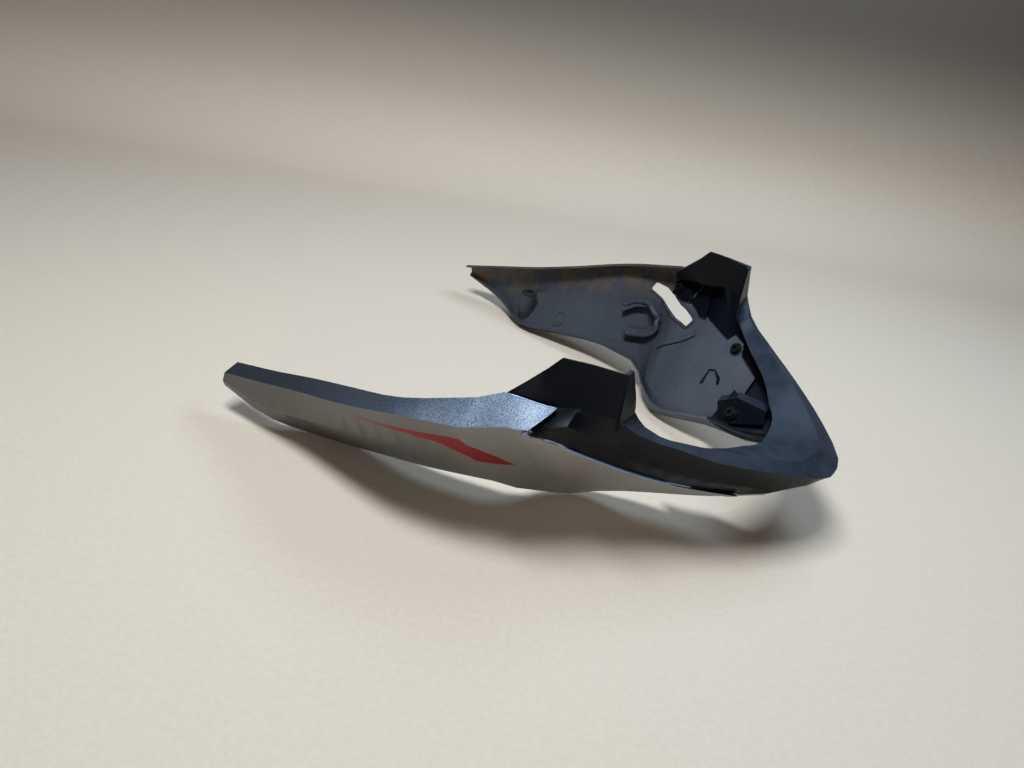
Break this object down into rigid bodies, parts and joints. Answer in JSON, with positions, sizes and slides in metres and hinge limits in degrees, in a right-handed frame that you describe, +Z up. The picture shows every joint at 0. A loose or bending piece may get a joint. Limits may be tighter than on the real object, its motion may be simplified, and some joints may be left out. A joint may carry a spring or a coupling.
{
  "type": "motorcycle belly pan",
  "caption": "V-shaped belly fairing for a motorcycle: painted side panels joined at the nose by a black cowl with upright tabs and rubber-bushed rear mounts.",
  "frame": {"origin": "on the floor, below the centre of the bounding box, on the plane of symmetry", "axes": "+X to the nose (front of the motorcycle), +Y to its left, +Z up; the part stands on the floor as pictured"},
  "size_m": [0.446, 0.412, 0.147],
  "materials": {
    "painted_panel": "metallic dark grey paint with a dark red stripe",
    "black_cowl": "moulded black, semi-matt",
    "rubber_grommet": "matt",
    "steel_sleeve": "zinc plated",
    "screw_steel": "zinc plated"
  },
  "bodies": {
    "root": {"side_panel_left": "painted_panel", "side_panel_right": "painted_panel", "centre_cowl": "black_cowl", "rear_grommet_left": "rubber_grommet", "rear_grommet_right": "rubber_grommet", "rear_sleeve_left": "steel_sleeve", "rear_sleeve_right": "steel_sleeve", "screw_tab_left": "screw_steel", "screw_tab_right": "screw_steel", "screw_arm_left": "screw_steel", "screw_arm_right": "screw_steel", "screw_bracket_left": "screw_steel", "screw_bracket_right": "screw_steel"}
  },
  "joints": []
}
